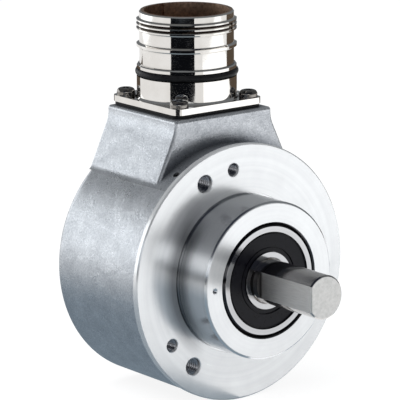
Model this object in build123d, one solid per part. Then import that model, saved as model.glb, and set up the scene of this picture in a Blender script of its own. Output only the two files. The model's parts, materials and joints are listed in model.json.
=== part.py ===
from build123d import *
import os
from math import cos, pi, radians, sin, sqrt, tan

# Incremental rotary encoder, millimetres. The shaft axis is the Y axis, with the shaft pointing to -Y.
# The origin is the centre of the flange's mounting face, and the connector stands up along +Z.

# Bearing flange, turned from bar
flange_dia = 59.0
flange_rim_width = 1.3
flange_depth = 9.0
flange_edge_chamfer = 0.3
collar_dia = 36.0
collar_length = 10.0
collar_chamfer = 0.5
bearing_seat_chamfer = 0.35
relief_width = 0.45
relief_depth = 0.3
hub_wall = 4.0
hub_end_margin = 1.0
punch_mark_dia = 1.4
punch_mark_depth = 0.35
punch_mark_radius = 15.3

# Tapped mounting holes in the flange face, drawn at the outer diameter of their threads
hole_circle_margin = 5.5
holes_per_size = 3
hole_depth = 5.0
hole_mouth_angle = 120.0
large_thread_dia = 4.0
large_hole_mouth = 4.4
large_hole_angle = 115.0
small_thread_dia = 3.0
small_hole_mouth = 3.3
small_hole_angle = 95.0

# Deep-groove ball bearings
bearing_bore = 10.0
bearing_dia = 26.0
bearing_width = 8.0
bearing_gap = 5.0
ball_dia = 4.762
ball_count = 7
ball_circle_dia = 18.0
ball_clearance = 0.06
outer_ring_chamfer = 0.65
inner_ring_chamfer = 0.35
outer_shoulder_dia = 21.2
inner_shoulder_dia = 14.8
inner_face_dia = 13.0
seal_recess_dia = 22.3
seal_thickness = 0.75
seal_sink = 0.25
seal_lip_sink = 0.12
seal_lip_width = 0.85
seal_lip_gap = 0.08
seal_groove_width = 0.3
seal_groove_sink = 0.35
seal_rim_width = 0.5
cage_wall = 1.4
cage_front = 1.0
cage_back = 2.75
land_height = 1.7

# Parts that preload and hold the bearings
spring_thickness = 0.35
spring_height = 0.9
spring_width = 1.6
bore_ring_thickness = 1.0
bore_ring_groove_depth = 0.6
bore_ring_stand_in = 1.3
shaft_ring_thickness = 1.0
shaft_ring_groove_dia = 9.6
shaft_ring_outer_dia = 14.0
ring_gap_angle = 50.0
shaft_ring_gap_angle = 100.0
spacer_outer_dia = 13.0
spring_clearance = 0.05

# Shaft
shaft_length = 19.5
shaft_flat_length = 17.6
shaft_flat_depth = 1.0
shaft_output_relief = 0.01
shaft_chamfer = 0.35
shaft_relief_width = 0.8
shaft_relief_depth = 0.25
shaft_shoulder_length = 0.9
tail_dia = 8.0
tail_length = 8.4

# Die-cast housing
housing_setback = 0.3
housing_draft = 0.35
housing_wall = 2.2
housing_back_wall = 2.4
housing_back_radius = 2.1
housing_front_chamfer = 0.25
land_inset = 0.35
land_half_angle = 43.3
spigot_clearance = 0.05
spigot_step = 0.4

# Saddle that carries the connector
saddle_side_margin = 1.2
saddle_front_margin = 1.1
saddle_rise = 6.3
saddle_knee_drop = 2.6
saddle_knee_radius = 7.0
saddle_flank_angle = 25.0
saddle_foot_angle = 42.4
saddle_foot_radius = 2.0
saddle_corner_radius = 0.7
saddle_top_wall = 5.0
saddle_side_wall = 2.6
saddle_window_dia = 19.2

# Set screws that hold the housing on the flange spigot
set_screw_dia = 1.6
set_screw_length = 2.4
set_screw_sink = 0.3
set_screw_y = 3.3
set_screw_angle = 123.0
set_screw_count = 3
set_screw_key = 0.7

# Seal ring between the flange and the housing
body_seal_section = 1.2
body_seal_y = 6.7

# Connector
connector_y = 19.5
plate_side = 25.0
plate_thickness = 1.4
plate_corner_radius = 2.2
gasket_thickness = 0.8
gasket_inset = 0.3
screw_pitch = 19.8
barrel_dia = 22.8
barrel_height = 5.0
barrel_foot_radius = 0.4
neck_dia = 21.55
lip_dia = 22.7
lip_height = 0.9
ring_section = 1.8
ring_stand_out = 0.35
rim_above_plate = 19.8
rim_chamfer = 0.25
thread_dia = 22.8
thread_pitch = 1.0
thread_turns = 3
thread_below_rim = 2.0
band_below_rim = 7.75
band_width = 1.3
ridge_crest = 0.3
ridge_flank = 0.35
socket_dia = 19.4
socket_lower_dia = 18.0
insert_seat_above_plate = 7.3
insert_flange_height = 2.4
insert_clearance = 0.1
insert_below_seat = 11.4
keyway_width = 2.1
keyway_depth = 0.55
snap_ring_section = 0.6
snap_ring_inner_dia = 18.2

# Connector screws
plate_screw_dia = 2.0
plate_screw_length = 7.0
plate_screw_head_dia = 4.2
plate_screw_head_height = 1.6
recess_width = 0.55
recess_span = 2.3
recess_depth = 0.8

# Contacts
pin_dia = 1.0
outer_pin_count = 9
outer_pin_circle = 13.2
inner_pin_count = 3
inner_pin_circle = 5.4
pin_tip_below_rim = 6.0
contact_board_dia = 16.8
contact_board_thickness = 1.2
contact_board_gap = 1.4
pin_tail = 0.6

# Disc hub and code disc
disc_hub_dia = 14.0
disc_hub_start = 0.8
disc_hub_flange_dia = 21.0
disc_hub_flange_thickness = 1.4
disc_plane_offset = 5.0
disc_rim_margin = 1.5
disc_thickness = 0.3
disc_bore_clearance = 0.05
slot_count = 90
slot_circle_dia = 29.6
slot_length = 2.4
index_slot_inset = 2.6
clamp_thickness = 1.0
clamp_screw_circle = 17.6
clamp_screw_count = 3
small_screw_dia = 1.6
small_screw_head_dia = 2.8
small_screw_head_height = 0.8
hub_screw_drop = 1.7
hub_screw_sink = 0.3

# Light source, on the flange side of the code disc
holder_half_width = 6.0
holder_radial_half = 3.7
holder_disc_gap = 0.7
holder_screw_offset = 4.5
holder_screw_engage = 3.0
lamp_dia = 2.4
lamp_flange_dia = 3.2
lamp_flange_thickness = 0.6
lens_dia = 5.0
lens_edge = 0.8
lens_rise = 0.5

# Scanning head, on the board side of the code disc
reticle_gap = 0.4
reticle_thickness = 1.0
reticle_side = 5.0
sensor_thickness = 1.0
sensor_side = 6.0
carrier_thickness = 1.5
carrier_side = 8.2

# Circuit board and what stands on it
board_edge_gap = 1.6
board_thickness = 1.6
board_hole_dia = 12.0
standoff_dia = 4.5
standoff_edge_distance = 3.5
standoff_count = 3
standoff_angle = 55.0
stud_dia = 2.5
stud_length = 3.5
board_screw_dia = 2.0
board_screw_length = 5.0
board_screw_head_dia = 4.0
board_screw_head_height = 1.4
header_half_width = 6.0
header_height = 4.0
header_depth = 2.8
header_edge_distance = 3.5
cable_half_width = 5.0
cable_thickness = 0.3
cable_inset = 0.5
chip_length = 10.0
chip_width = 4.0
chip_height = 1.6
chip_z = -6.0
chip_spacing = 15.0
capacitor_dia = 4.0
capacitor_height = 3.0
capacitor_clearance = 1.4

# Stations along the shaft axis
front_bearing_y = -collar_length
front_bearing_end = front_bearing_y + bearing_width
rear_bearing_y = front_bearing_end + bearing_gap
rear_bearing_end = rear_bearing_y + bearing_width
spring_end = rear_bearing_end + spring_height
bore_ring_end = spring_end + bore_ring_thickness
hub_end = bore_ring_end + hub_end_margin
shaft_ring_end = rear_bearing_end + shaft_ring_thickness
shaft_shoulder_y = shaft_ring_end + shaft_shoulder_length
shaft_end_y = -collar_length - shaft_length
shaft_tail_y = shaft_shoulder_y + tail_length
disc_hub_y = shaft_shoulder_y + disc_hub_start
disc_y = hub_end + disc_plane_offset
disc_back = disc_y + disc_thickness
clamp_back = disc_back + clamp_thickness
disc_hub_end = clamp_back + small_screw_head_height / 2
reticle_y = disc_back + reticle_gap
sensor_y = reticle_y + reticle_thickness
carrier_y = sensor_y + sensor_thickness
board_y = carrier_y + carrier_thickness
board_back = board_y + board_thickness
cavity_end_y = board_back + capacitor_height + capacitor_clearance
housing_end_y = cavity_end_y + housing_back_wall
saddle_front_y = connector_y - plate_side / 2 - saddle_front_margin

# Diameters, radii and widths that follow from others
housing_dia = flange_dia - 2 * housing_setback
hole_circle_dia = flange_dia - 2 * hole_circle_margin
hub_dia = bearing_dia + 2 * hub_wall
land_dia = bearing_dia - 2 * land_height
bore_ring_groove_dia = bearing_dia + 2 * bore_ring_groove_depth
bore_ring_inner_dia = bearing_dia - 2 * bore_ring_stand_in
collar_radius = collar_dia / 2
housing_bore_radius = housing_dia / 2 - housing_wall
cavity_radius = housing_bore_radius - spigot_step
spigot_radius = housing_bore_radius - spigot_clearance
land_radius = housing_dia / 2 - land_inset
saddle_half_width = plate_side / 2 + saddle_side_margin
track_radius = slot_circle_dia / 2
disc_dia = slot_circle_dia + slot_length + 2 * disc_rim_margin
index_radius = track_radius - index_slot_inset
board_dia = 2 * (cavity_radius - board_edge_gap)
standoff_circle = board_dia - 2 * standoff_edge_distance
header_top_z = board_dia / 2 - header_edge_distance

# Levels of the connector
saddle_top_z = housing_dia / 2 + saddle_rise
gasket_top_z = saddle_top_z + gasket_thickness
plate_top_z = gasket_top_z + plate_thickness
barrel_top_z = plate_top_z + barrel_height
lip_bottom_z = barrel_top_z + ring_section
lip_top_z = lip_bottom_z + lip_height
rim_z = plate_top_z + rim_above_plate
insert_seat_z = plate_top_z + insert_seat_above_plate
insert_top_z = insert_seat_z + insert_flange_height
insert_bottom_z = insert_seat_z - insert_below_seat
contact_board_top_z = insert_bottom_z - contact_board_gap
contact_board_z = contact_board_top_z - contact_board_thickness


# Shapes about the shaft axis and about the connector axis
def round_y(dia, y_start, y_end, x=0.0, z=0.0):
    return Pos(x, (y_start + y_end) / 2, z) * Rot(90, 0, 0) * Cylinder(dia / 2, y_end - y_start)


def tube_y(outer, inner, y_start, y_end):
    return round_y(outer, y_start, y_end) - round_y(inner, y_start, y_end)


def turned_y(points):
    return revolve(Polygon(*points, align=None), Axis.Y)


def round_z(dia, z_start, z_end, x=0.0, y=connector_y):
    return Pos(x, y, (z_start + z_end) / 2) * Cylinder(dia / 2, z_end - z_start)


def turned_z(points):
    profile = Plane.XZ * Polygon(*points, align=None)
    return Pos(0, connector_y, 0) * revolve(profile, Axis.Z)


def box_between(x_range, y_range, z_range):
    size = [high - low for low, high in (x_range, y_range, z_range)]
    middle = [(high + low) / 2 for low, high in (x_range, y_range, z_range)]
    return Pos(*middle) * Box(*size)


def around_shaft(shape, count, first_angle):
    """Copies of a shape drawn on the +X side, turned about the shaft to first_angle above +X and on."""
    return [Rot(0, -(first_angle + index * 360.0 / count), 0) * shape for index in range(count)]


def on_circle_z(shape, count, circle_dia, first_angle=90.0):
    """Copies of a shape drawn on the connector axis, spread on a circle about it."""
    copies = []
    for index in range(count):
        angle = radians(first_angle + index * 360.0 / count)
        copies.append(Pos(circle_dia / 2 * cos(angle), circle_dia / 2 * sin(angle), 0) * shape)
    return copies


def at_plate_corners(shape):
    half = screw_pitch / 2
    return [Pos(x, y, 0) * shape for x in (-half, half) for y in (-half, half)]


def save(shape, name):
    shape.label = name
    export_step(shape, f"parts/{name}.step")


def save_group(shapes, name):
    save(Compound(children=[solid for shape in shapes for solid in shape.solids()]), name)


# Bearing flange
def tapped_hole(bore, mouth):
    """A blind tapped hole in the mounting face, with a countersunk mouth, on the +X side of the hole circle."""
    x = hole_circle_dia / 2
    sink = (mouth - bore) / 2 / tan(radians(hole_mouth_angle / 2))
    cone = Pos(x, sink / 2, 0) * Rot(90, 0, 0) * Cone(bore / 2, mouth / 2, sink)
    return round_y(bore, 0, hole_depth, x) + cone


def bearing_flange():
    rim = flange_dia / 2
    profile = [
        (bearing_dia / 2, -collar_length + bearing_seat_chamfer),
        (bearing_dia / 2 + bearing_seat_chamfer, -collar_length),
        (collar_radius - collar_chamfer, -collar_length),
        (collar_radius, -collar_length + collar_chamfer),
        (collar_radius, -relief_width),
        (collar_radius - relief_depth, -relief_width),
        (collar_radius - relief_depth, relief_depth),
        (collar_radius + relief_width, relief_depth),
        (collar_radius + relief_width, 0),
        (rim - flange_edge_chamfer, 0),
        (rim, flange_edge_chamfer),
        (rim, flange_rim_width),
        (spigot_radius, flange_rim_width),
        (spigot_radius, flange_depth - spigot_step),
        (spigot_radius - spigot_step, flange_depth),
        (hub_dia / 2, flange_depth),
        (hub_dia / 2, hub_end),
        (bearing_dia / 2, hub_end),
        (bearing_dia / 2, rear_bearing_y),
        (land_dia / 2, rear_bearing_y),
        (land_dia / 2, front_bearing_end),
        (bearing_dia / 2, front_bearing_end),
    ]
    flange = turned_y(profile)
    flange -= around_shaft(tapped_hole(large_thread_dia, large_hole_mouth), holes_per_size, large_hole_angle)
    flange -= around_shaft(tapped_hole(small_thread_dia, small_hole_mouth), holes_per_size, small_hole_angle)
    seal_groove_dia = 2 * (housing_bore_radius - body_seal_section)
    half_groove = body_seal_section / 2 + spigot_clearance
    flange -= tube_y(flange_dia, seal_groove_dia, body_seal_y - half_groove, body_seal_y + half_groove)
    flange -= tube_y(bore_ring_groove_dia, land_dia, spring_end, bore_ring_end)
    flange -= Pos(-punch_mark_radius, punch_mark_depth - collar_length, 0) * Rot(90, 0, 0) * Cone(
        0, punch_mark_dia / 2, 2 * punch_mark_depth
    )
    flange -= around_shaft(set_screw_bore(), set_screw_count, set_screw_angle)
    stud_x = standoff_circle / 2
    stud_hole = round_y(stud_dia, flange_depth - stud_length, flange_depth, stud_x)
    flange -= around_shaft(stud_hole, standoff_count, standoff_angle)
    for x in (-holder_screw_offset, holder_screw_offset):
        flange -= round_y(small_screw_dia, hub_end - holder_screw_engage, hub_end, x, -track_radius)
    return flange


# Housing set screws
def set_screw_bore():
    outer = land_radius - set_screw_sink
    inner = outer - set_screw_length
    middle = (inner + flange_dia / 2) / 2
    return Pos(middle, set_screw_y, 0) * Rot(0, 90, 0) * Cylinder(set_screw_dia / 2, flange_dia / 2 - inner)


def set_screw():
    outer = land_radius - set_screw_sink
    body = Pos(outer - set_screw_length / 2, set_screw_y, 0) * Rot(0, 90, 0) * Cylinder(
        set_screw_dia / 2, set_screw_length
    )
    key = extrude(RegularPolygon(set_screw_key / 2, 6, major_radius=False), set_screw_length / 2)
    return body - Pos(outer - set_screw_length / 2, set_screw_y, 0) * Rot(0, 90, 0) * key


# Housing
def saddle_side():
    """Points down one side of the saddle: top, knee, foot of the flank, and the end of its run-out."""
    slope = radians(saddle_flank_angle)
    turn = radians(saddle_foot_angle)
    knee_z = saddle_top_z - saddle_knee_drop
    stand_off = saddle_half_width * sin(turn) + knee_z * cos(turn) - land_radius
    flank = stand_off / cos(slope + turn)
    foot = (saddle_half_width + flank * sin(slope), knee_z - flank * cos(slope))
    run_out = (land_radius * sin(turn), land_radius * cos(turn))
    return [(saddle_half_width, saddle_top_z), (saddle_half_width, knee_z), foot, run_out]


def saddle_block():
    """The block under the connector: upright sides at the top that flare out to the round body."""
    side = saddle_side()
    foot_z = side[2][1]
    root_z = side[3][1] - housing_wall
    right = [(saddle_half_width, root_z)] + side[::-1]
    left = [(-x, z) for x, z in reversed(right)]
    outline = Polygon(*left, *right, align=None)
    levels = outline.vertices().group_by(Axis.Y)
    outline = fillet(levels[-2], saddle_knee_radius)
    outline = fillet(outline.vertices().filter_by(lambda v: abs(v.Y - foot_z) < 0.01), saddle_foot_radius)
    block = extrude(Plane.XZ * outline, -(housing_end_y - saddle_front_y))
    block = Pos(0, saddle_front_y, 0) * block
    ends = block.faces().sort_by(Axis.Y)
    end_edges = ends[0].edges() + ends[-1].edges()
    seen_edges = [edge for edge in end_edges if edge.center().Z > foot_z - saddle_corner_radius]
    top_sides = block.edges().filter_by(Axis.Y).group_by(Axis.Z)[-1]
    return fillet(seen_edges + list(top_sides), saddle_corner_radius)


def housing_land_cut():
    """The ring sector by which the body is lower under the saddle than below its two ledges."""
    outer = housing_dia
    ring = tube_y(outer, 2 * land_radius, flange_rim_width, housing_end_y)
    left = Rot(0, -(90 - land_half_angle), 0) * box_between((0, outer), (0, housing_end_y), (0, outer))
    right = Rot(0, 90 - land_half_angle, 0) * box_between((-outer, 0), (0, housing_end_y), (0, outer))
    return ring & left & right


def housing_body():
    front = housing_dia / 2
    back = front - housing_draft
    outline = Polygon(
        (0, flange_rim_width),
        (front - housing_front_chamfer, flange_rim_width),
        (front, flange_rim_width + housing_front_chamfer),
        (back, housing_end_y),
        (0, housing_end_y),
        align=None,
    )
    back_corner = outline.vertices().sort_by(Axis.Y)[-2:].sort_by(Axis.X)[-1]
    return revolve(fillet(back_corner, housing_back_radius), Axis.Y)


def housing():
    shell = housing_body() - housing_land_cut()
    shell = shell + saddle_block()
    shell -= round_y(2 * housing_bore_radius, flange_rim_width, flange_depth + spigot_step)
    shell -= round_y(2 * cavity_radius, flange_depth, cavity_end_y)
    pocket_half = saddle_half_width - saddle_side_wall
    pocket_floor_z = cavity_radius * sqrt(0.5)
    shell -= box_between(
        (-pocket_half, pocket_half),
        (saddle_front_y + saddle_side_wall, cavity_end_y),
        (pocket_floor_z, saddle_top_z - saddle_top_wall),
    )
    shell -= round_z(saddle_window_dia, pocket_floor_z, saddle_top_z)
    shell -= around_shaft(set_screw_bore(), set_screw_count, set_screw_angle)
    screw_bottom = plate_top_z - plate_screw_length
    shell -= at_plate_corners(round_z(plate_screw_dia, screw_bottom, saddle_top_z))
    return shell


def housing_seal():
    radius = housing_bore_radius - body_seal_section / 2
    return Pos(0, body_seal_y, 0) * Rot(90, 0, 0) * Torus(radius, body_seal_section / 2)


# Ball bearing, drawn with its front face at Y = 0
def bearing_middle():
    return bearing_width / 2


def race_groove():
    groove_radius = ball_dia / 2 + ball_clearance
    return Pos(0, bearing_middle(), 0) * Rot(90, 0, 0) * Torus(ball_circle_dia / 2, groove_radius)


def outer_ring():
    outside = bearing_dia / 2
    shoulder = outer_shoulder_dia / 2
    recess = seal_recess_dia / 2
    depth = seal_sink + seal_thickness
    width = bearing_width
    corner = outer_ring_chamfer
    profile = [
        (recess, 0), (outside - corner, 0), (outside, corner), (outside, width - corner),
        (outside - corner, width), (recess, width), (recess, width - depth), (shoulder, width - depth),
        (shoulder, depth), (recess, depth),
    ]
    return turned_y(profile) - race_groove()


def inner_ring():
    bore = bearing_bore / 2
    face = inner_face_dia / 2
    shoulder = inner_shoulder_dia / 2
    depth = seal_sink + seal_thickness + seal_lip_gap
    width = bearing_width
    corner = inner_ring_chamfer
    profile = [
        (bore + corner, 0), (face, 0), (face, depth), (shoulder, depth), (shoulder, width - depth),
        (face, width - depth), (face, width), (bore + corner, width), (bore, width - corner), (bore, corner),
    ]
    return turned_y(profile) - race_groove()


def ball_at(radius):
    return Pos(ball_circle_dia / 2, bearing_middle(), 0) * Rot(90, 0, 0) * Sphere(radius)


def balls():
    return around_shaft(ball_at(ball_dia / 2), ball_count, 90.0)


def cage():
    middle = bearing_middle()
    ring = tube_y(
        ball_circle_dia + cage_wall, ball_circle_dia - cage_wall, middle - cage_front, middle + cage_back
    )
    return ring - around_shaft(ball_at(ball_dia / 2 + ball_clearance), ball_count, 90.0)


def seal():
    """Rubber seal: a flat ring, lower at its rim, with a groove beside the lip at the inner ring."""
    outside = seal_recess_dia / 2
    rim = outside - seal_rim_width
    lip = inner_face_dia / 2 + seal_lip_gap
    lip_end = lip + seal_lip_width
    groove_end = lip_end + seal_groove_width
    low = seal_sink + seal_groove_sink
    back = seal_sink + seal_thickness
    profile = [
        (lip, seal_sink + seal_lip_sink), (lip_end, seal_sink + seal_lip_sink), (lip_end, low),
        (groove_end, low), (groove_end, seal_sink), (rim, seal_sink), (rim, low), (outside, low),
        (outside, back), (lip, back),
    ]
    return turned_y(profile)


def seal_turned_round():
    return Pos(0, bearing_width, 0) * Rot(180, 0, 0) * seal()


def save_bearing(place, y):
    move = Pos(0, y, 0)
    save(move * outer_ring(), f"{place}_bearing_outer_ring")
    save(move * inner_ring(), f"{place}_bearing_inner_ring")
    save_group([move * ball for ball in balls()], f"{place}_bearing_balls")
    save(move * cage(), f"{place}_bearing_cage")
    save(move * seal(), f"{place}_bearing_front_seal")
    save(move * seal_turned_round(), f"{place}_bearing_rear_seal")


# Rings that hold the bearings
def open_ring(outer, inner, y_start, y_end, gap_angle):
    """A flat retaining ring with its gap at the top."""
    gap = []
    reach = outer
    for side in (-1, 1):
        angle = radians(90 + side * gap_angle / 2)
        gap.append((reach * cos(angle), reach * sin(angle)))
    sector = extrude(Plane.XZ * Polygon((0, 0), *gap, align=None), -(y_end - y_start))
    return tube_y(outer, inner, y_start, y_end) - Pos(0, y_start, 0) * sector


def preload_spring():
    """A coned spring washer: inner edge on the rear outer ring, outer edge on the retaining ring."""
    outside = bearing_dia / 2 - spring_clearance
    inside = bearing_dia / 2 - spring_width
    return turned_y([
        (inside, rear_bearing_end),
        (inside, rear_bearing_end + spring_thickness),
        (outside, spring_end),
        (outside, spring_end - spring_thickness),
    ])


def ring_spacer():
    return tube_y(spacer_outer_dia, bearing_bore, front_bearing_end, rear_bearing_y)


# Shaft
def shaft():
    """Output end with its flat, ground a little under the bearing seats; then the seats and the tail."""
    radius = bearing_bore / 2
    flat_end = shaft_end_y + shaft_flat_length
    flat = box_between((-2 * radius, shaft_flat_depth - radius), (shaft_end_y, flat_end), (-radius, radius))
    output = round_y(bearing_bore - 2 * shaft_output_relief, shaft_end_y, flat_end) - flat
    output = chamfer(output.faces().sort_by(Axis.Y)[0].edges(), shaft_chamfer)
    seats = round_y(bearing_bore, flat_end, shaft_shoulder_y)
    seats = chamfer(seats.edges().sort_by(Axis.Y)[-1], shaft_chamfer)
    tail = round_y(tail_dia, shaft_shoulder_y - shaft_chamfer, shaft_tail_y)
    body = output + seats
    body += chamfer(tail.edges().sort_by(Axis.Y)[-1], shaft_chamfer)
    body -= tube_y(bearing_bore, shaft_ring_groove_dia, rear_bearing_end, shaft_ring_end)
    relief_end = front_bearing_y + inner_ring_chamfer
    relief_dia = bearing_bore - 2 * shaft_relief_depth
    return body - tube_y(bearing_bore, relief_dia, relief_end - shaft_relief_width, relief_end)


# Code disc and its hub
def disc_hub():
    hub = round_y(disc_hub_dia, disc_hub_y, disc_hub_end)
    hub += round_y(disc_hub_flange_dia, disc_y - disc_hub_flange_thickness, disc_y)
    hub -= round_y(tail_dia, disc_hub_y, disc_hub_end)
    hub -= clamp_screw_holes()
    return hub - hub_set_screws(0, disc_hub_dia)


def clamp_screw_holes():
    hole = round_y(small_screw_dia, disc_y - disc_hub_flange_thickness, clamp_back, clamp_screw_circle / 2)
    return around_shaft(hole, clamp_screw_count, 90.0)


def hub_set_screws(inner_radius, outer_radius):
    """Two opposite radial screws, or with wider radii the holes for them."""
    turned = Pos((inner_radius + outer_radius) / 2, disc_hub_y + hub_screw_drop, 0) * Rot(0, 90, 0)
    return around_shaft(turned * Cylinder(small_screw_dia / 2, outer_radius - inner_radius), 2, 0.0)


def code_disc():
    """A thin metal disc with a ring of radial slots and one index slot."""
    disc = tube_y(disc_dia, disc_hub_dia + 2 * disc_bore_clearance, disc_y, disc_back)
    slot_width = pi * slot_circle_dia / slot_count / 2
    slot = box_between(
        (track_radius - slot_length / 2, track_radius + slot_length / 2),
        (disc_y, disc_back),
        (-slot_width / 2, slot_width / 2),
    )
    index_slot = box_between(
        (index_radius - slot_width, index_radius + slot_width),
        (disc_y, disc_back),
        (-slot_width / 2, slot_width / 2),
    )
    disc -= around_shaft(slot, slot_count, 0.0)
    disc -= around_shaft(index_slot, 1, 0.0)
    return disc - clamp_screw_holes()


def disc_clamp_ring():
    ring = tube_y(disc_hub_flange_dia, disc_hub_dia + 2 * disc_bore_clearance, disc_back, clamp_back)
    return ring - clamp_screw_holes()


def disc_clamp_screws():
    x = clamp_screw_circle / 2
    screw = round_y(small_screw_dia, disc_y - disc_hub_flange_thickness, clamp_back, x)
    screw += round_y(small_screw_head_dia, clamp_back, clamp_back + small_screw_head_height, x)
    return around_shaft(screw, clamp_screw_count, 90.0)


# Light source
def light_holder_end():
    return disc_y - holder_disc_gap


def lens_seat_y():
    return light_holder_end() - lens_edge - lens_rise


def light_holder():
    end = light_holder_end()
    block = box_between(
        (-holder_half_width, holder_half_width),
        (hub_end, end),
        (-track_radius - holder_radial_half, -track_radius + holder_radial_half),
    )
    block -= round_y(lamp_flange_dia, hub_end, hub_end + lamp_flange_thickness, 0, -track_radius)
    block -= round_y(lamp_dia, hub_end, lens_seat_y(), 0, -track_radius)
    block -= round_y(lens_dia, lens_seat_y(), end, 0, -track_radius)
    for x in (-holder_screw_offset, holder_screw_offset):
        block -= round_y(small_screw_dia, hub_end, end, x, -track_radius)
        block -= round_y(small_screw_head_dia, end - small_screw_head_height, end, x, -track_radius)
    return block


def light_source():
    lamp = round_y(lamp_flange_dia, hub_end, hub_end + lamp_flange_thickness, 0, -track_radius)
    dome_y = lens_seat_y() - lamp_dia / 2
    lamp += round_y(lamp_dia, hub_end + lamp_flange_thickness, dome_y, 0, -track_radius)
    lamp += Pos(0, dome_y, -track_radius) * Sphere(lamp_dia / 2)
    return lamp


def condenser_lens():
    """A flat-backed lens: a disc whose face towards the code disc is the cap of a sphere."""
    radius = lens_dia / 2
    sphere_radius = (radius**2 + lens_rise**2) / (2 * lens_rise)
    seat = lens_seat_y()
    edge = seat + lens_edge
    outline = Polyline((0, edge + lens_rise), (0, seat), (radius, seat), (radius, edge))
    face = make_face(outline + RadiusArc((radius, edge), (0, edge + lens_rise), -sphere_radius))
    return Pos(0, 0, -track_radius) * revolve(face, Axis.Y)


def light_holder_screws():
    end = light_holder_end()
    screws = []
    for x in (-holder_screw_offset, holder_screw_offset):
        shank = round_y(small_screw_dia, hub_end - holder_screw_engage, end, x, -track_radius)
        head = round_y(small_screw_head_dia, end - small_screw_head_height, end, x, -track_radius)
        screws.append(shank + head)
    return screws


# Scanning head
def scanning_block(side, y_start, y_end):
    half = side / 2
    return box_between((-half, half), (y_start, y_end), (-track_radius - half, -track_radius + half))


# Circuit board
def circuit_board():
    board = tube_y(board_dia, board_hole_dia, board_y, board_back)
    hole = round_y(board_screw_dia, board_y, board_back, standoff_circle / 2)
    return board - around_shaft(hole, standoff_count, standoff_angle)


def board_standoffs():
    x = standoff_circle / 2
    post = round_y(standoff_dia, flange_depth, board_y, x)
    post += round_y(stud_dia, flange_depth - stud_length, flange_depth, x)
    post -= round_y(board_screw_dia, board_back - board_screw_length, board_y, x)
    return around_shaft(post, standoff_count, standoff_angle)


def board_screws():
    x = standoff_circle / 2
    screw = round_y(board_screw_dia, board_back - board_screw_length, board_back, x)
    screw += round_y(board_screw_head_dia, board_back, board_back + board_screw_head_height, x)
    return around_shaft(screw, standoff_count, standoff_angle)


def board_chips():
    chips = []
    for x in (-chip_spacing / 2, chip_spacing / 2):
        chips.append(box_between(
            (x - chip_width / 2, x + chip_width / 2),
            (board_back, board_back + chip_height),
            (chip_z - chip_length / 2, chip_z + chip_length / 2),
        ))
    return chips


def board_capacitors():
    places = (-chip_spacing / 2, 0.0, chip_spacing / 2)
    z = chip_z - chip_length / 2 - capacitor_dia
    return [round_y(capacitor_dia, board_back, board_back + capacitor_height, x, z) for x in places]


def board_header():
    return box_between(
        (-header_half_width, header_half_width),
        (board_back, board_back + header_depth),
        (header_top_z - header_height, header_top_z),
    )


def flat_cable():
    back = board_back + header_depth - cable_inset
    return box_between(
        (-cable_half_width, cable_half_width),
        (back - cable_thickness, back),
        (header_top_z, contact_board_z),
    )


# Connector
def ridge(middle_z, crest, top_dia):
    """A ring on the neck with a flat crest and two sloping flanks."""
    neck = neck_dia / 2
    root = crest / 2 + ridge_flank
    return turned_z([
        (neck - ridge_flank, middle_z - root),
        (neck, middle_z - root),
        (top_dia / 2, middle_z - crest / 2),
        (top_dia / 2, middle_z + crest / 2),
        (neck, middle_z + root),
        (neck - ridge_flank, middle_z + root),
    ])


def plate_blank(side, corner_radius, z_start, z_end):
    outline = RectangleRounded(side, side, corner_radius)
    return Pos(0, connector_y, z_start) * extrude(outline, z_end - z_start)


def connector_shell():
    groove_radius = barrel_dia / 2 + ring_stand_out - ring_section
    neck = neck_dia / 2
    barrel = barrel_dia / 2
    shell = plate_blank(plate_side, plate_corner_radius, gasket_top_z, plate_top_z)
    shell += turned_z([
        (0, gasket_top_z), (barrel + barrel_foot_radius, gasket_top_z),
        (barrel + barrel_foot_radius, plate_top_z),
        (barrel, plate_top_z + barrel_foot_radius), (barrel, barrel_top_z), (groove_radius, barrel_top_z),
        (groove_radius, lip_bottom_z), (lip_dia / 2, lip_bottom_z), (lip_dia / 2, lip_top_z - rim_chamfer),
        (lip_dia / 2 - rim_chamfer, lip_top_z), (neck, lip_top_z), (neck, rim_z - rim_chamfer),
        (neck - rim_chamfer, rim_z), (0, rim_z),
    ])
    for turn in range(thread_turns):
        shell += ridge(rim_z - thread_below_rim - turn * thread_pitch, ridge_crest, thread_dia)
    shell += ridge(rim_z - band_below_rim, band_width - 2 * ridge_flank, thread_dia)
    shell -= round_z(socket_lower_dia, gasket_top_z, insert_seat_z)
    shell -= round_z(socket_dia, insert_seat_z, rim_z)
    shell -= round_z(socket_dia + snap_ring_section, insert_top_z, insert_top_z + snap_ring_section)
    shell -= box_between(
        (-keyway_width / 2, keyway_width / 2),
        (connector_y, connector_y + socket_dia / 2 + keyway_depth),
        (insert_top_z + snap_ring_section, rim_z),
    )
    return shell - at_plate_corners(round_z(plate_screw_dia, gasket_top_z, plate_top_z))


def connector_gasket():
    side = plate_side - 2 * gasket_inset
    gasket = plate_blank(side, plate_corner_radius - gasket_inset, saddle_top_z, gasket_top_z)
    gasket -= round_z(saddle_window_dia, saddle_top_z, gasket_top_z)
    return gasket - at_plate_corners(round_z(plate_screw_dia, saddle_top_z, gasket_top_z))


def connector_seal_ring():
    radius = barrel_dia / 2 + ring_stand_out - ring_section / 2
    return Pos(0, connector_y, barrel_top_z + ring_section / 2) * Torus(radius, ring_section / 2)


def plate_screw():
    """Pan-head screw with a cross recess, drawn on the connector axis at its own height."""
    head_top = plate_top_z + plate_screw_head_height
    head = round_z(plate_screw_head_dia, plate_top_z, head_top)
    rounding = plate_screw_head_height * 0.55
    head = fillet(head.edges().sort_by(Axis.Z)[-1], rounding)
    screw = head + round_z(plate_screw_dia, plate_top_z - plate_screw_length, plate_top_z)
    for long_x, long_y in ((recess_span, recess_width), (recess_width, recess_span)):
        screw -= Pos(0, connector_y, head_top - recess_depth / 2) * Box(long_x, long_y, recess_depth)
    return screw


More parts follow.
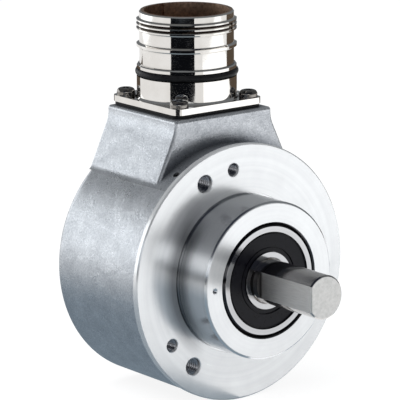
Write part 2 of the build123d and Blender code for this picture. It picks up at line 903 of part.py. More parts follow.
def contact_places(shape):
    outer = on_circle_z(shape, outer_pin_count, outer_pin_circle)
    return outer + on_circle_z(shape, inner_pin_count, inner_pin_circle)


def contact_insert():
    body = round_z(socket_lower_dia - 2 * insert_clearance, insert_bottom_z, insert_seat_z)
    body += round_z(socket_dia - 2 * insert_clearance, insert_seat_z, insert_top_z)
    return body - contact_places(round_z(pin_dia, insert_bottom_z, insert_top_z))


def contact_pin():
    tip_z = rim_z - pin_tip_below_rim
    pin = round_z(pin_dia, contact_board_z - pin_tail, tip_z)
    return fillet(pin.edges().sort_by(Axis.Z)[-1], pin_dia * 0.4)


def contact_board():
    board = round_z(contact_board_dia, contact_board_z, contact_board_top_z)
    return board - contact_places(round_z(pin_dia, contact_board_z, contact_board_top_z))


def snap_ring():
    ring = round_z(socket_dia + snap_ring_section, insert_top_z, insert_top_z + snap_ring_section)
    ring -= round_z(snap_ring_inner_dia, insert_top_z, insert_top_z + snap_ring_section)
    return ring - box_between(
        (-keyway_width, keyway_width),
        (connector_y, connector_y + socket_dia),
        (insert_top_z, insert_top_z + snap_ring_section),
    )


os.makedirs("parts", exist_ok=True)

save(bearing_flange(), "bearing_flange")
save(housing(), "housing")
save(housing_seal(), "housing_seal_ring")
save_group(around_shaft(set_screw(), set_screw_count, set_screw_angle), "housing_set_screws")

save_bearing("front", front_bearing_y)
save_bearing("rear", rear_bearing_y)
save(preload_spring(), "preload_spring")
save(
    open_ring(bore_ring_groove_dia, bore_ring_inner_dia, spring_end, bore_ring_end, ring_gap_angle),
    "bearing_retaining_ring",
)
save(ring_spacer(), "bearing_spacer")
save(
    open_ring(
        shaft_ring_outer_dia, shaft_ring_groove_dia, rear_bearing_end, shaft_ring_end, shaft_ring_gap_angle
    ),
    "shaft_retaining_ring",
)
save(shaft(), "shaft")

save(disc_hub(), "disc_hub")
save_group(hub_set_screws(tail_dia / 2, disc_hub_dia / 2 - hub_screw_sink), "hub_set_screws")
save(code_disc(), "code_disc")
save(disc_clamp_ring(), "disc_clamp_ring")
save_group(disc_clamp_screws(), "disc_clamp_screws")

save(light_holder(), "light_holder")
save_group(light_holder_screws(), "light_holder_screws")
save(light_source(), "light_source")
save(condenser_lens(), "condenser_lens")
save(scanning_block(reticle_side, reticle_y, sensor_y), "scanning_reticle")
save(scanning_block(sensor_side, sensor_y, carrier_y), "photo_sensor")
save(scanning_block(carrier_side, carrier_y, board_y), "sensor_carrier")

save(circuit_board(), "circuit_board")
save_group(board_standoffs(), "board_standoffs")
save_group(board_screws(), "board_screws")
save_group(board_chips(), "board_chips")
save_group(board_capacitors(), "board_capacitors")
save(board_header(), "board_header")
save(flat_cable(), "flat_cable")

save(connector_shell(), "connector_shell")
save(connector_gasket(), "connector_gasket")
save(connector_seal_ring(), "connector_seal_ring")
save_group(at_plate_corners(plate_screw()), "connector_screws")
save(contact_insert(), "contact_insert")
save_group(contact_places(contact_pin()), "contact_pins")
save(contact_board(), "contact_board")
save(snap_ring(), "insert_snap_ring")
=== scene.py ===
import json
import math

import bpy
from mathutils import Matrix, Vector


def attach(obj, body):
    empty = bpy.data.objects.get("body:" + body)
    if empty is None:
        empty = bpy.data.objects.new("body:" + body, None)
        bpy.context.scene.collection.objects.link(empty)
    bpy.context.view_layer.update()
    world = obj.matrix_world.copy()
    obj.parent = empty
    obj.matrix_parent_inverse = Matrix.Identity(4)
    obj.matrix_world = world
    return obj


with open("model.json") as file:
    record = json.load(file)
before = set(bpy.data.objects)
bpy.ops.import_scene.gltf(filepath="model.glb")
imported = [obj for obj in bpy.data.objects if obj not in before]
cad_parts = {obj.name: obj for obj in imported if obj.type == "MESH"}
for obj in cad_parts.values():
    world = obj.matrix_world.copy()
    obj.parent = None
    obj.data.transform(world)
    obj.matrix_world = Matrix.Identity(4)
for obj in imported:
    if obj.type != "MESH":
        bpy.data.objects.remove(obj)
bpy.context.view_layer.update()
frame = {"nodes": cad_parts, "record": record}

# All positions are in millimetres until they reach Blender, which works in metres.
MM = 0.001

# Camera: the photograph's view, with no shift
CAMERA_PLACE = (-486.91, -610.44, 195.03)
CAMERA_RIGHT = (0.78822, -0.61536, -0.00569)
CAMERA_DOWN = (-0.14133, -0.17202, -0.97490)
CAMERA_FORWARD = (0.59894, 0.76924, -0.22256)
CAMERA_LENS = 321.16
CAMERA_SENSOR = 36.0
CAMERA_CLIP_START = 10.0
CAMERA_CLIP_END = 100000.0

# The direction from the object to the camera, on the floor
CAMERA_SIDE = (-0.614, -0.789)

# The model's places that the pieces and finishes made here need
X_AXIS, Y_AXIS, Z_AXIS = 0, 1, 2
FLOOR_Z = -29.5
CONNECTOR_CENTRE = (0.0, 19.5, 0.0)
NECK_RADIUS = 10.775
COLLAR_RADIUS = 18.0
COLLAR_FRONT_Y = -10.0
SEAT_MOUTH_RADII = (12.0, 13.32)
RING_RIM_RADII = (12.38, 14.0)
SHAFT_FLAT_X = -4.0
SHAFT_END_Y = -29.5
SHAFT_FLAT_END_Y = -11.9

# Tapped holes of the flange, and the profile of their threads as shares of the ridge's height and of the pitch
HOLE_CIRCLE_RADIUS = 24.0
HOLE_DEPTH = 5.0
HOLES_OF_A_SIZE = 3
LARGE_HOLES = {"bore": 4.0, "crest": 3.25, "pitch": 0.7, "mouth": 0.115, "first_angle": 115.0}
SMALL_HOLES = {"bore": 3.0, "crest": 2.46, "pitch": 0.5, "mouth": 0.087, "first_angle": 95.0}
THREAD_PROFILE = ((0.0, -0.46), (1.0, -0.07), (1.0, 0.07), (0.0, 0.46))
THREAD_STATIONS = 40
THREAD_SINK = 0.02
THREAD_START = 0.1
THREAD_CLEAR_END = 0.3

# Noise textures stay mostly between these values.
NOISE_LOW, NOISE_HIGH = 0.3, 0.7

# How metallic the matt front faces of the flange are; the rest of it is 1
MATT_METALLIC = 0.62

# The painted shade at the collar's foot is strongest up to the first value and gone from the second on.
SHADE_REACH = (1.6, 4.4)
SHADE_SIDE_X = (-16.0, -10.5)


# Meshes
def mesh_object(name, verts, faces, material, smooth_angle=35.0):
    """A mesh from points in millimetres, shaded smooth below smooth_angle."""
    mesh = bpy.data.meshes.new(name)
    mesh.from_pydata([Vector(p) * MM for p in verts], [], faces)
    mesh.update()
    obj = bpy.data.objects.new(name, mesh)
    bpy.context.collection.objects.link(obj)
    mesh.materials.append(material)
    mesh.polygons.foreach_set("use_smooth", [True] * len(mesh.polygons))
    mesh.set_sharp_from_angle(angle=math.radians(smooth_angle))
    return obj


def card(name, centre, normal, size, material):
    """A flat rectangle that faces along normal, with its height as upright as that allows."""
    turn = Vector(normal).to_track_quat("Z", "Y").to_matrix()
    half_w, half_h = size[0] / 2, size[1] / 2
    corners = [(-half_w, -half_h, 0), (half_w, -half_h, 0), (half_w, half_h, 0), (-half_w, half_h, 0)]
    points = [Vector(centre) + turn @ Vector(c) for c in corners]
    return mesh_object(name, points, [(0, 1, 2, 3)], material)


# Node materials
class Surface:
    """A Principled shader and short calls that put procedural nodes in front of it, in millimetres."""

    def __init__(self, name, **values):
        self.material = bpy.data.materials.new(name)
        self.material.use_nodes = True
        self.tree = self.material.node_tree
        self.shader = self.tree.nodes["Principled BSDF"]
        for socket, value in values.items():
            if isinstance(value, tuple):
                value = (*value, 1.0)
            self.shader.inputs[socket.replace("_", " ")].default_value = value
        coordinates = self.tree.nodes.new("ShaderNodeTexCoord")
        self.place = self.vector("SCALE", coordinates.outputs["Object"], scale=1 / MM)

    # Values
    def feed(self, source, socket):
        """Link an output to a socket, or write a plain value into it."""
        if hasattr(source, "is_output"):
            self.tree.links.new(source, socket)
        else:
            socket.default_value = source

    def vector(self, operation, first, second=None, scale=None):
        """The result of a vector operation: a number for LENGTH and DOT_PRODUCT, otherwise a vector."""
        node = self.tree.nodes.new("ShaderNodeVectorMath")
        node.operation = operation
        self.feed(first, node.inputs[0])
        if second is not None:
            self.feed(second, node.inputs[1])
        if scale is not None:
            node.inputs["Scale"].default_value = scale
        return node.outputs["Value" if operation in ("LENGTH", "DOT_PRODUCT") else "Vector"]

    def math(self, operation, first, second):
        """The result of an operation on two numbers."""
        node = self.tree.nodes.new("ShaderNodeMath")
        node.operation = operation
        self.feed(first, node.inputs[0])
        self.feed(second, node.inputs[1])
        return node.outputs[0]

    def part(self, vector, index):
        """One component of a vector."""
        node = self.tree.nodes.new("ShaderNodeSeparateXYZ")
        self.feed(vector, node.inputs[0])
        return node.outputs[index]

    def steps(self, value, low, high, out_low, out_high):
        """Straight from out_low, where the value is at low, to out_high, and level beyond both."""
        node = self.tree.nodes.new("ShaderNodeMapRange")
        self.feed(value, node.inputs["Value"])
        for socket, number in zip(("From Min", "From Max", "To Min", "To Max"), (low, high, out_low, out_high)):
            node.inputs[socket].default_value = number
        return node.outputs["Result"]

    def varied(self, texture, low, high):
        """A noise texture stretched to run from low to high."""
        return self.steps(texture, NOISE_LOW, NOISE_HIGH, low, high)

    def within(self, value, low, high, amount, softness):
        """amount between low and high, and 0 outside of them."""
        return self.math("MULTIPLY", self.steps(value, low - softness, low + softness, 0.0, amount),
                         self.steps(value, high - softness, high + softness, 1.0, 0.0))

    # Textures
    def noise(self, scale, detail, roughness=0.55, at=None, distortion=0.0):
        """A noise texture, read at the place on the model unless at gives other coordinates."""
        node = self.tree.nodes.new("ShaderNodeTexNoise")
        node.inputs["Scale"].default_value = scale
        node.inputs["Detail"].default_value = detail
        node.inputs["Roughness"].default_value = roughness
        node.inputs["Distortion"].default_value = distortion
        self.feed(self.place if at is None else at, node.inputs["Vector"])
        return node.outputs["Fac"]

    def cells(self, scale):
        """The distance to the nearest centre of a cell."""
        node = self.tree.nodes.new("ShaderNodeTexVoronoi")
        node.inputs["Scale"].default_value = scale
        self.feed(self.place, node.inputs["Vector"])
        return node.outputs["Distance"]

    def turned(self, axis, centre=(0.0, 0.0, 0.0), wobble=0.02):
        """Coordinates (radius, height) about an axis, which only change as lathe marks do."""
        moved = self.vector("SUBTRACT", self.place, centre)
        flat = self.vector("MULTIPLY", moved, tuple(0.0 if i == axis else 1.0 for i in range(3)))
        waves = self.math("MULTIPLY", self.noise(0.12, detail=1.0), wobble)
        joined = self.tree.nodes.new("ShaderNodeCombineXYZ")
        self.feed(self.math("ADD", self.vector("LENGTH", flat), waves), joined.inputs[0])
        self.feed(self.part(moved, axis), joined.inputs[1])
        return joined.outputs[0]

    def colours(self, value, stops):
        """A colour ramp; each stop is a position and a colour."""
        node = self.tree.nodes.new("ShaderNodeValToRGB")
        ramp = node.color_ramp
        while len(ramp.elements) < len(stops):
            ramp.elements.new(0.5)
        for element, (position, colour) in zip(ramp.elements, stops):
            element.position = position
            element.color = (*colour, 1.0)
        self.feed(value, node.inputs["Fac"])
        return node.outputs["Color"]

    def two_tone(self, texture, dark, light):
        """Colours from dark to light over the range of a noise texture."""
        return self.colours(texture, [(NOISE_LOW, dark), (NOISE_HIGH, light)])

    def blend(self, factor, first, second):
        """The colour first at factor 0 and second at factor 1."""
        # Of a mix node for colours, inputs 6 and 7 and output 2 are the ones in use.
        node = self.tree.nodes.new("ShaderNodeMix")
        node.data_type = "RGBA"
        self.feed(factor, node.inputs[0])
        for source, socket in ((first, node.inputs[6]), (second, node.inputs[7])):
            if isinstance(source, tuple):
                source = (*source, 1.0)
            self.feed(source, socket)
        return node.outputs[2]

    # Shapes that a finish reacts to
    def edge(self, radius):
        """How far the surface keeps its direction within radius: 1 on open faces, less on edges."""
        bevel = self.tree.nodes.new("ShaderNodeBevel")
        bevel.samples = 4
        bevel.inputs["Radius"].default_value = radius * MM
        plain = self.tree.nodes.new("ShaderNodeNewGeometry")
        return self.vector("DOT_PRODUCT", bevel.outputs["Normal"], plain.outputs["Normal"])

    def openness(self, reach):
        """1 on open faces, less in grooves and corners that are within reach of other faces."""
        node = self.tree.nodes.new("ShaderNodeAmbientOcclusion")
        node.samples = 8
        node.inputs["Distance"].default_value = reach * MM
        return node.outputs["AO"]

    def brushed(self, axis, amount):
        """Reflections drawn out across the grooves that run round an axis."""
        node = self.tree.nodes.new("ShaderNodeTangent")
        node.direction_type = "RADIAL"
        node.axis = "XYZ"[axis]
        self.feed(node.outputs[0], self.shader.inputs["Tangent"])
        self.shader.inputs["Anisotropic"].default_value = amount
        self.shader.inputs["Anisotropic Rotation"].default_value = 0.25

    def bump(self, height, depth, strength, under=None):
        """The normal of a surface with this relief, laid over the relief of another bump."""
        node = self.tree.nodes.new("ShaderNodeBump")
        node.inputs["Strength"].default_value = strength
        node.inputs["Distance"].default_value = depth * MM
        self.feed(height, node.inputs["Height"])
        if under is not None:
            self.feed(under, node.inputs["Normal"])
        return node.outputs["Normal"]

    # The shader's own sockets
    def set(self, socket, source):
        """Feed one socket of the shader."""
        self.feed(source, self.shader.inputs[socket])

    def finish(self, colour, roughness, normal):
        """Set what every finish here varies, and give the material."""
        self.set("Base Color", colour)
        self.set("Roughness", roughness)
        self.set("Normal", normal)
        return self.material


def cast_metal():
    """Matt grainy die-cast alloy: crystal speckle, cloudy patches, flow streaks, lighter worn edges, painted shade in
    corners.
    """
    s = Surface("die_cast_alloy", Metallic=0.85, Roughness=0.3)
    speckle = s.noise(2.6, detail=3.0, roughness=0.75)
    crystals = s.cells(2.1)
    cloud = s.noise(0.22, detail=4.0, roughness=0.62, distortion=0.6)
    flow = s.noise(0.5, detail=3.0, roughness=0.6, at=s.vector("MULTIPLY", s.place, (1.0, 0.35, 1.0)))
    fine = s.colours(speckle, [(0.36, (0.33, 0.35, 0.38)), (0.66, (0.72, 0.74, 0.77))])
    soft = s.colours(cloud, [(0.32, (0.42, 0.44, 0.47)), (0.68, (0.64, 0.66, 0.69))])
    worn = s.steps(s.edge(0.5), 0.999, 0.97, 0.0, 0.45)
    # Painted shade: the colour turns a dark blue-grey in corners and hollows within 5 mm of other faces.
    painted_shade = s.steps(s.openness(5.0), 0.92, 0.50, 0.0, 0.72)
    clean = s.blend(worn, s.blend(0.5, fine, soft), (0.86, 0.87, 0.88))
    colour = s.blend(painted_shade, clean, (0.045, 0.055, 0.075))
    roughness = s.math("ADD", s.varied(flow, 0.24, 0.34), s.steps(crystals, 0.0, 0.6, -0.04, 0.05))
    small = s.bump(crystals, depth=0.03, strength=0.5, under=s.bump(speckle, depth=0.05, strength=0.75))
    return s.finish(colour, roughness, s.bump(cloud, depth=0.25, strength=0.5, under=small))


def shaft_steel():
    """A polished round shaft whose flat, on its -X side, is left with the marks of the grinding wheel and has painted
    shade at its root.
    """
    s = Surface("shaft_steel", Metallic=1.0, Roughness=0.15)
    marks = s.noise(9.0, detail=4.0, roughness=0.65, at=s.turned(Y_AXIS))
    strokes = s.noise(3.2, detail=3.0, roughness=0.6, at=s.vector("MULTIPLY", s.place, (1.0, 0.10, 1.6)))
    mottle = s.noise(1.3, detail=4.0, roughness=0.65)
    along = s.part(s.place, Y_AXIS)
    flat = s.steps(s.part(s.place, X_AXIS), SHAFT_FLAT_X + 0.01, SHAFT_FLAT_X + 0.04, 1.0, 0.0)
    end = s.steps(along, SHAFT_END_Y + 0.05, SHAFT_END_Y + 0.1, 1.0, 0.0)
    # Painted shade: the flat turns near black towards its root at the shoulder.
    root_shade = s.steps(along, SHAFT_FLAT_END_Y - 0.8, SHAFT_FLAT_END_Y - 0.1, 0.0, 0.9)
    round_colour = s.two_tone(mottle, (0.60, 0.575, 0.55), (0.70, 0.68, 0.66))
    ground_colour = s.two_tone(strokes, (0.80, 0.755, 0.715), (0.93, 0.89, 0.85))
    end_colour = s.two_tone(mottle, (0.43, 0.43, 0.42), (0.55, 0.545, 0.535))
    flat_colour = s.blend(root_shade, ground_colour, (0.03, 0.028, 0.03))
    colour = s.blend(end, s.blend(flat, round_colour, flat_colour), end_colour)
    roughness = s.math("ADD", s.varied(marks, 0.11, 0.18), s.math("MULTIPLY", flat, 0.30))
    roughness = s.math("ADD", roughness, s.math("MULTIPLY", end, 0.16))
    polish = s.bump(marks, depth=0.0015, strength=0.7)
    return s.finish(colour, roughness, s.bump(strokes, depth=0.004, strength=0.35, under=polish))


def painted_gap_shade(s, rings, clean, radii):
    """Painted shade: the clean colour darkened to near black between two radii, where parts meet."""
    gap_shade = s.within(s.part(rings, 0), *radii, amount=0.93, softness=0.05)
    return s.blend(gap_shade, clean, (0.02, 0.02, 0.022))


def collar_matt_and_shade(s, rings, clean):
    """Matt front faces, and painted shade in the corner at the collar's foot, on its -X side."""
    away = s.vector("LENGTH", s.vector("SUBTRACT", rings, (COLLAR_RADIUS, 0.0, 0.0)))
    side = s.steps(s.part(s.place, X_AXIS), *SHADE_SIDE_X, 1.0, 0.0)
    # Painted shade: the corner at the collar's foot turns a dark blue-grey.
    corner_shade = s.math("MULTIPLY", s.steps(away, *SHADE_REACH, 0.52, 0.0), side)
    flange_face = s.steps(s.part(rings, 0), COLLAR_RADIUS + 0.1, COLLAR_RADIUS + 0.5, 0.0, 1.0)
    collar_face = s.steps(s.part(rings, 1), COLLAR_FRONT_Y + 0.1, COLLAR_FRONT_Y + 0.2, 1.0, 0.0)
    s.set("Metallic", s.steps(s.math("MAXIMUM", flange_face, collar_face), 0.0, 1.0, 1.0, MATT_METALLIC))
    return s.blend(corner_shade, clean, (0.05, 0.055, 0.065))


def turned_metal(name, colour, roughness, axis=Y_AXIS, centre=(0.0, 0.0, 0.0), lines=6.0, depth=0.004,
                 spread=0.07, anisotropic=0.0, shade_radii=None, collar=False):
    """A metal with lathe or grinding lines round an axis.

    The two radii that may be given bound painted shade, a near-black band where parts meet; collar adds what sets the
    flange and its collar apart.
    """
    s = Surface(name, Metallic=1.0, Base_Color=colour, Roughness=roughness)
    if anisotropic:
        s.brushed(axis, anisotropic)
    rings = s.turned(axis, centre)
    marks = s.noise(lines, detail=4.0, roughness=0.65, at=rings)
    broad = s.noise(lines * 0.12, detail=2.0, roughness=0.5, at=rings)
    smudge = s.noise(0.16, detail=3.0, roughness=0.6)
    light = tuple(min(1.0, c * 1.05) for c in colour)
    dark = tuple(c * 0.88 for c in colour)
    clean = s.blend(0.5, s.colours(broad, [(0.35, dark), (0.65, light)]), s.two_tone(smudge, dark, light))
    # Painted shade: near black between the given radii, at the gap to the neighbouring part.
    if shade_radii:
        clean = painted_gap_shade(s, rings, clean, shade_radii)
    if collar:
        clean = collar_matt_and_shade(s, rings, clean)
    uneven = s.math("ADD", s.varied(marks, roughness - spread, roughness + spread),
                    s.varied(smudge, -spread * 0.4, spread * 0.4))
    return s.finish(clean, uneven, s.bump(marks, depth, strength=0.8))


def polished_nickel():
    """Bright nickel plating: faint orange peel, hairline turning marks, painted shade in its grooves and a brown bore.
    """
    s = Surface("nickel_plating", Metallic=1.0, Base_Color=(0.80, 0.775, 0.74), Roughness=0.07)
    rings = s.turned(Z_AXIS, CONNECTOR_CENTRE)
    lines = s.noise(9.0, detail=3.0, roughness=0.6, at=rings)
    peel = s.noise(0.9, detail=2.0, roughness=0.5)
    haze = s.noise(0.25, detail=3.0, roughness=0.6)
    inside = s.steps(s.part(rings, 0), NECK_RADIUS - 0.4, NECK_RADIUS - 0.3, 1.0, 0.0)
    plated = s.two_tone(haze, (0.77, 0.745, 0.71), (0.84, 0.82, 0.79))
    bored = s.two_tone(s.noise(1.4, detail=4.0, roughness=0.6), (0.40, 0.26, 0.175), (0.80, 0.58, 0.44))
    # Painted shade: the plating turns dark brown in grooves and corners within 1 mm of other faces.
    painted_shade = s.steps(s.openness(1.0), 0.80, 0.45, 0.0, 0.85)
    colour = s.blend(inside, s.blend(painted_shade, plated, (0.05, 0.035, 0.025)), bored)
    roughness = s.math("ADD", s.varied(haze, 0.03, 0.07), s.math("MULTIPLY", inside, 0.42))
    skin = s.bump(peel, depth=0.003, strength=0.5)
    return s.finish(colour, roughness, s.bump(lines, depth=0.0009, strength=0.6, under=skin))


def rubber(name, colour, roughness):
    """Fine-grained rubber with a little dust."""
    s = Surface(name, Base_Color=colour, Roughness=roughness, Specular_IOR_Level=0.16)
    grain = s.noise(5.0, detail=4.0, roughness=0.6)
    dust = s.noise(0.7, detail=4.0, roughness=0.65)
    dusty = s.colours(dust, [(0.35, colour), (0.8, tuple(c * 1.6 + 0.006 for c in colour))])
    uneven = s.varied(dust, roughness - 0.06, roughness + 0.1)
    return s.finish(dusty, uneven, s.bump(grain, depth=0.012, strength=0.6))


def moulded(name, colour, roughness=0.42):
    """Moulded plastic with faint flow marks and a fine grain."""
    s = Surface(name, Base_Color=colour, Roughness=roughness)
    grain = s.noise(4.0, detail=3.0, roughness=0.6)
    flow = s.noise(0.35, detail=2.0, roughness=0.5)
    light = tuple(min(1.0, c * 1.12) for c in colour)
    marbled = s.colours(flow, [(0.35, tuple(c * 0.9 for c in colour)), (0.7, light)])
    uneven = s.varied(grain, roughness - 0.06, roughness + 0.06)
    return s.finish(marbled, uneven, s.bump(grain, depth=0.008, strength=0.5))


def board_laminate():
    """Green solder mask over a woven laminate."""
    s = Surface("board_laminate", Base_Color=(0.02, 0.17, 0.07), Roughness=0.3)
    weave = s.noise(2.4, detail=2.0, roughness=0.5)
    pour = s.cells(0.35)
    colour = s.colours(pour, [(0.25, (0.015, 0.13, 0.05)), (0.6, (0.03, 0.22, 0.09))])
    return s.finish(colour, s.varied(weave, 0.24, 0.36), s.bump(weave, depth=0.01, strength=0.4))


def clear(name, colour, roughness, ior):
    """A clear glass or resin with a little dust on it."""
    s = Surface(name, Base_Color=colour, Roughness=roughness, IOR=ior, Transmission_Weight=1.0)
    dust = s.noise(1.5, detail=3.0, roughness=0.6)
    s.set("Roughness", s.steps(dust, 0.4, 0.8, roughness, roughness + 0.05))
    s.set("Normal", s.bump(dust, depth=0.001, strength=0.2))
    return s.material


FINISHES = {
    "cast_metal": cast_metal(),
    # The flange gets painted shade at the mouth of the bearing seat.
    "turned_aluminium": turned_metal("turned_aluminium", (0.88, 0.89, 0.90), 0.215, spread=0.05, anisotropic=0.25,
                                     shade_radii=SEAT_MOUTH_RADII, collar=True),
    "nickel": polished_nickel(),
    "cut_thread": turned_metal("cut_thread", (0.36, 0.36, 0.38), 0.26),
    "screw_steel": turned_metal("screw_steel", (0.24, 0.225, 0.21), 0.13, axis=Z_AXIS, centre=CONNECTOR_CENTRE),
    "ground_steel": shaft_steel(),
    # The bearing rings get painted shade at their rims, where they meet the flange.
    "bearing_steel": turned_metal("bearing_steel", (0.50, 0.50, 0.51), 0.14, lines=9.0, depth=0.002, spread=0.04,
                                  shade_radii=RING_RIM_RADII),
    "ball_steel": turned_metal("ball_steel", (0.82, 0.82, 0.83), 0.07, depth=0.0005, spread=0.02),
    "spring_steel": turned_metal("spring_steel", (0.38, 0.37, 0.38), 0.32),
    "black_rubber": rubber("black_rubber", (0.005, 0.005, 0.006), 0.38),
    "seal_rubber": rubber("seal_rubber", (0.005, 0.005, 0.008), 0.30),
    "cage_plastic": moulded("cage_plastic", (0.10, 0.07, 0.05)),
    "insert_plastic": moulded("insert_plastic", (0.035, 0.024, 0.018), 0.35),
    "contact_gold": turned_metal("contact_gold", (0.90, 0.68, 0.30), 0.18, axis=Z_AXIS, lines=5.0),
    "board_green": board_laminate(),
    "chip_black": moulded("chip_resin", (0.022, 0.022, 0.024), 0.5),
    "disc_metal": turned_metal("disc_metal", (0.58, 0.57, 0.56), 0.2, lines=4.0),
    "hub_brass": turned_metal("hub_brass", (0.72, 0.55, 0.28), 0.26),
    "clear_glass": clear("lens_glass", (0.95, 0.98, 0.97), 0.03, 1.5),
    "lamp_clear": clear("lamp_resin", (0.92, 0.95, 0.98), 0.06, 1.52),
    "sensor_dark": moulded("sensor_package", (0.05, 0.035, 0.06), 0.22),
    "cable_white": moulded("cable_film", (0.74, 0.73, 0.68), 0.4),
    "capacitor_can": turned_metal("capacitor_can", (0.75, 0.75, 0.77), 0.3),
}

slot_of = {part["node"]: part["material_slot"] for part in frame["record"]["subparts"]}
for node, obj in frame["nodes"].items():
    obj.data.materials.clear()
    obj.data.materials.append(FINISHES[slot_of[node]])


# Threads
def thread_turns(name, holes):
    """Helical ridges inside the bores of one hole size, all in one mesh."""
    pitch = holes["pitch"]
    foot = holes["bore"] / 2 + THREAD_SINK
    height = holes["crest"] / 2 - foot
    start = holes["mouth"] + THREAD_START
    stations = int((HOLE_DEPTH - holes["mouth"] - THREAD_CLEAR_END) / pitch * THREAD_STATIONS)
    across = len(THREAD_PROFILE)
    verts, faces = [], []
    for hole in range(HOLES_OF_A_SIZE):
        bearing = math.radians(holes["first_angle"] + hole * 360.0 / HOLES_OF_A_SIZE)
        centre_x = HOLE_CIRCLE_RADIUS * math.cos(bearing)
        centre_z = HOLE_CIRCLE_RADIUS * math.sin(bearing)
        base = len(verts)
        for station in range(stations + 1):
            turns = station / THREAD_STATIONS
            angle = 2 * math.pi * turns
            grown = min(1.0, 2 * turns)
            for share, offset in THREAD_PROFILE:
                r = foot + height * share * grown
                y = start + (turns + 0.5 + offset) * pitch
                verts.append((centre_x + r * math.cos(angle), y, centre_z + r * math.sin(angle)))
        for station in range(stations):
            for k in range(across - 1):
                a = base + station * across + k
                b = a + across
                faces.append((a, a + 1, b + 1, b))
    obj = mesh_object(name, verts, faces, FINISHES["cut_thread"], smooth_angle=30.0)
    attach(obj, "encoder_body")


thread_turns("large_hole_threads", LARGE_HOLES)
thread_turns("small_hole_threads", SMALL_HOLES)


# Studio materials
class Glow:
    """The node tree of a floor, card or world, and short calls for its light."""

    def __init__(self, holder):
        holder.use_nodes = True
        self.nodes = holder.node_tree.nodes
        self.links = holder.node_tree.links
        self.nodes.clear()

    def shade(self, kind, colour, strength=None):
        """A shader with a colour and, where it glows, a strength, which may be another node's output."""
        node = self.nodes.new(kind)
        node.inputs["Color"].default_value = (*colour, 1.0)
        if hasattr(strength, "is_output"):
            self.links.new(strength, node.inputs["Strength"])
        elif strength is not None:
            node.inputs["Strength"].default_value = strength
        return node.outputs[0]

    def mixed(self, factor, first, second):
        """The shader first at factor 0 and second at factor 1."""
        node = self.nodes.new("ShaderNodeMixShader")
        if hasattr(factor, "is_output"):
            self.links.new(factor, node.inputs[0])
        else:
            node.inputs[0].default_value = factor
        self.links.new(first, node.inputs[1])
        self.links.new(second, node.inputs[2])
        return node.outputs[0]

    def steps(self, value, low, high, out_low=0.0, out_high=1.0):
        """Straight from out_low, where the value is at low, to out_high; low and high are in millimetres."""
        node = self.nodes.new("ShaderNodeMapRange")
        self.links.new(value, node.inputs["Value"])
        numbers = (low * MM, high * MM, out_low, out_high)
        for socket, number in zip(("From Min", "From Max", "To Min", "To Max"), numbers):
            node.inputs[socket].default_value = number
        return node.outputs["Result"]

    def place(self):
        """The place in the studio, in metres."""
        return self.nodes.new("ShaderNodeTexCoord").outputs["Object"]

    def by_ray(self, bounced, mirrored, seen):
        """What bounced light, mirror rays, and the camera or a clear piece get to see."""
        path = self.nodes.new("ShaderNodeLightPath")
        direct = self.nodes.new("ShaderNodeMath")
        direct.operation = "MAXIMUM"
        self.links.new(path.outputs["Is Camera Ray"], direct.inputs[0])
        self.links.new(path.outputs["Is Transmission Ray"], direct.inputs[1])
        unseen = self.mixed(path.outputs["Is Glossy Ray"], bounced, mirrored)
        return self.mixed(direct.outputs[0], unseen, seen)

    def finish(self, kind, shader):
        """Make a shader what the tree puts out."""
        self.links.new(shader, self.nodes.new(kind).inputs[0])


def floor_material():
    """A white floor with the object's shadow; in reflections it is dim near the object and light further out."""
    material = bpy.data.materials.new("studio_floor")
    g = Glow(material)
    white = g.shade("ShaderNodeEmission", (1.0, 1.0, 1.0), 1.2)
    seen = g.mixed(0.74, g.shade("ShaderNodeBsdfDiffuse", (0.80, 0.80, 0.80)), white)
    distance = g.nodes.new("ShaderNodeVectorMath")
    distance.operation = "LENGTH"
    g.links.new(g.place(), distance.inputs[0])
    near = g.shade("ShaderNodeEmission", (0.68, 0.85, 1.0), 0.37)
    far = g.shade("ShaderNodeEmission", (1.0, 1.0, 1.0), 0.92)
    mirrored = g.mixed(g.steps(distance.outputs["Value"], low=90.0, high=230.0), near, far)
    bounced = g.shade("ShaderNodeBsdfDiffuse", (0.40, 0.41, 0.42))
    g.finish("ShaderNodeOutputMaterial", g.by_ray(bounced, mirrored, seen))
    return material


def glow_material(name, colour, strength=1.0):
    """An even glow."""
    material = bpy.data.materials.new(name)
    g = Glow(material)
    g.finish("ShaderNodeOutputMaterial", g.shade("ShaderNodeEmission", colour, strength))
    return material


def graded_material(name, colour, near, far):
    """A glow from near to far, each a pair of a distance in front of the flange's face and a strength."""
    material = bpy.data.materials.new(name)
    g = Glow(material)
    parts = g.nodes.new("ShaderNodeSeparateXYZ")
    g.links.new(g.place(), parts.inputs[0])
    strength = g.steps(parts.outputs["Y"], low=-near[0], high=-far[0], out_low=near[1], out_high=far[1])
    g.finish("ShaderNodeOutputMaterial", g.shade("ShaderNodeEmission", colour, strength))
    return material


def white_world():
    """A white backdrop for the view; the metals mirror a dimmer room and the ambient light is low."""
    world = bpy.data.worlds.new("studio")
    bpy.context.scene.world = world
    g = Glow(world)
    ambient = g.shade("ShaderNodeBackground", (0.90, 0.95, 1.0), 0.30)
    mirrored = g.shade("ShaderNodeBackground", (0.90, 0.95, 1.0), 0.19)
    seen = g.shade("ShaderNodeBackground", (1.0, 1.0, 1.0), 1.0)
    g.finish("ShaderNodeOutputWorld", g.by_ray(ambient, mirrored, seen))


# Studio
def mirror_card(name, centre, normal, size, material):
    """A card that only the shining surfaces see."""
    obj = card(name, centre, normal, size, material)
    obj.visible_camera = False
    obj.visible_diffuse = False
    obj.visible_transmission = False
    obj.visible_shadow = False


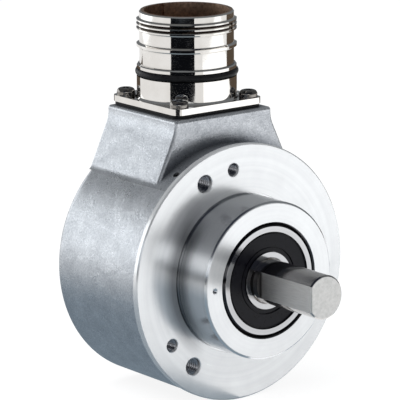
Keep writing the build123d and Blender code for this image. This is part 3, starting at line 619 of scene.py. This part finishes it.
def upright_card(name, bearing, distance, width, low, high, material):
    """A mirror card square to a bearing in degrees: 0 is the camera's side, +90 the right of the picture."""
    turn = math.radians(bearing)
    out_x, out_y = CAMERA_SIDE
    x = distance * (out_x * math.cos(turn) - out_y * math.sin(turn))
    y = distance * (out_x * math.sin(turn) + out_y * math.cos(turn))
    mirror_card(name, (x, y, (low + high) / 2), (-x, -y, 0), (width, high - low), material)


def soft_light(name, place, aim, size, watts, colour=(1.0, 1.0, 1.0)):
    """A square area lamp that no surface mirrors."""
    data = bpy.data.lights.new(name, "AREA")
    data.size = size * MM
    data.energy = watts
    data.color = colour
    lamp = bpy.data.objects.new(name, data)
    lamp.location = Vector(place) * MM
    lamp.rotation_euler = (Vector(place) - Vector(aim)).to_track_quat("Z", "Y").to_euler()
    lamp.visible_glossy = False
    bpy.context.collection.objects.link(lamp)


def studio_floor():
    """The floor, which is level with the lowest point of the flange."""
    reach = 6000.0
    corners = [(-reach, -reach, FLOOR_Z), (reach, -reach, FLOOR_Z), (reach, reach, FLOOR_Z), (-reach, reach, FLOOR_Z)]
    mesh_object("studio_floor", corners, [(0, 1, 2, 3)], floor_material())


def front_cards():
    """One wall of bands before the object, which the connector's barrel and the collar's side mirror."""
    black = glow_material("black_card", (0.004, 0.0045, 0.006))
    grey = glow_material("grey_card", (0.40, 0.46, 0.54))
    dusk = glow_material("dusk_card", (0.030, 0.034, 0.048))
    streak = glow_material("streak_card", (0.98, 0.99, 1.0), 1.35)
    black_top, grey_top, dusk_top = 12.0, 100.0, 420.0
    wall = {"bearing": -12.0, "distance": 277.0, "width": 312.0}
    upright_card("dark_front", **wall, low=FLOOR_Z + 5.0, high=black_top, material=black)
    upright_card("grey_front", **wall, low=black_top, high=grey_top, material=grey)
    upright_card("streak_front", bearing=2.0, distance=268.0, width=146.0, low=20.0, high=92.0, material=streak)
    upright_card("dusk_front", **wall, low=grey_top, high=dusk_top, material=dusk)
    mirror_card("dark_front_top", (-60.0, -250.0, 300.0), (0.16, 0.66, -0.73), (420.0, 330.0), dusk)


def back_and_floor_cards():
    """Dark strips for the barrel's edges, light behind on the left, and a light floor for the front faces."""
    brown = glow_material("brown_card", (0.10, 0.075, 0.055))
    bright = glow_material("bright_card", (0.96, 0.985, 1.0), 1.75)
    white = graded_material("white_card", (0.98, 0.99, 1.0), near=(25.0, 1.12), far=(150.0, 1.48))
    low = FLOOR_Z + 1.0
    upright_card("dark_far_right", bearing=142.0, distance=330.0, width=330.0, low=low, high=2.0, material=brown)
    upright_card("dark_far_left", bearing=-157.0, distance=250.0, width=212.0, low=low, high=2.0, material=brown)
    upright_card("bright_back_left", bearing=-118.0, distance=460.0, width=520.0, low=low, high=225.0, material=bright)
    mirror_card("light_floor_right", (200.0, -200.5, FLOOR_Z + 0.2), (0, 0, 1), (400.0, 400.0), white)


def lamps():
    """A key light from the left, a fill light from the right and a soft light from above."""
    soft_light("key_light", (-520.0, -160.0, 620.0), aim=(0, 5, 0), size=420.0, watts=4.0)
    soft_light("fill_light", (560.0, -420.0, 260.0), aim=(0, 5, 0), size=380.0, watts=1.2, colour=(1.0, 0.98, 0.95))
    soft_light("top_light", (80.0, 160.0, 760.0), aim=(0, 10, 0), size=500.0, watts=2.0)


studio_floor()
white_world()
front_cards()
back_and_floor_cards()
lamps()


# Camera
def photo_camera():
    """The camera as it was fitted to the photograph."""
    data = bpy.data.cameras.new("photo_camera")
    data.lens = CAMERA_LENS
    data.sensor_width = CAMERA_SENSOR
    data.clip_start = CAMERA_CLIP_START * MM
    data.clip_end = CAMERA_CLIP_END * MM
    camera = bpy.data.objects.new("photo_camera", data)
    bpy.context.collection.objects.link(camera)
    columns = (Vector(CAMERA_RIGHT), -Vector(CAMERA_DOWN), -Vector(CAMERA_FORWARD))
    turn = Matrix(columns).transposed().to_4x4()
    camera.matrix_world = Matrix.Translation(Vector(CAMERA_PLACE) * MM) @ turn
    bpy.context.scene.camera = camera


photo_camera()
bpy.context.scene.view_settings.view_transform = "Standard"

bpy.context.view_layer.update()
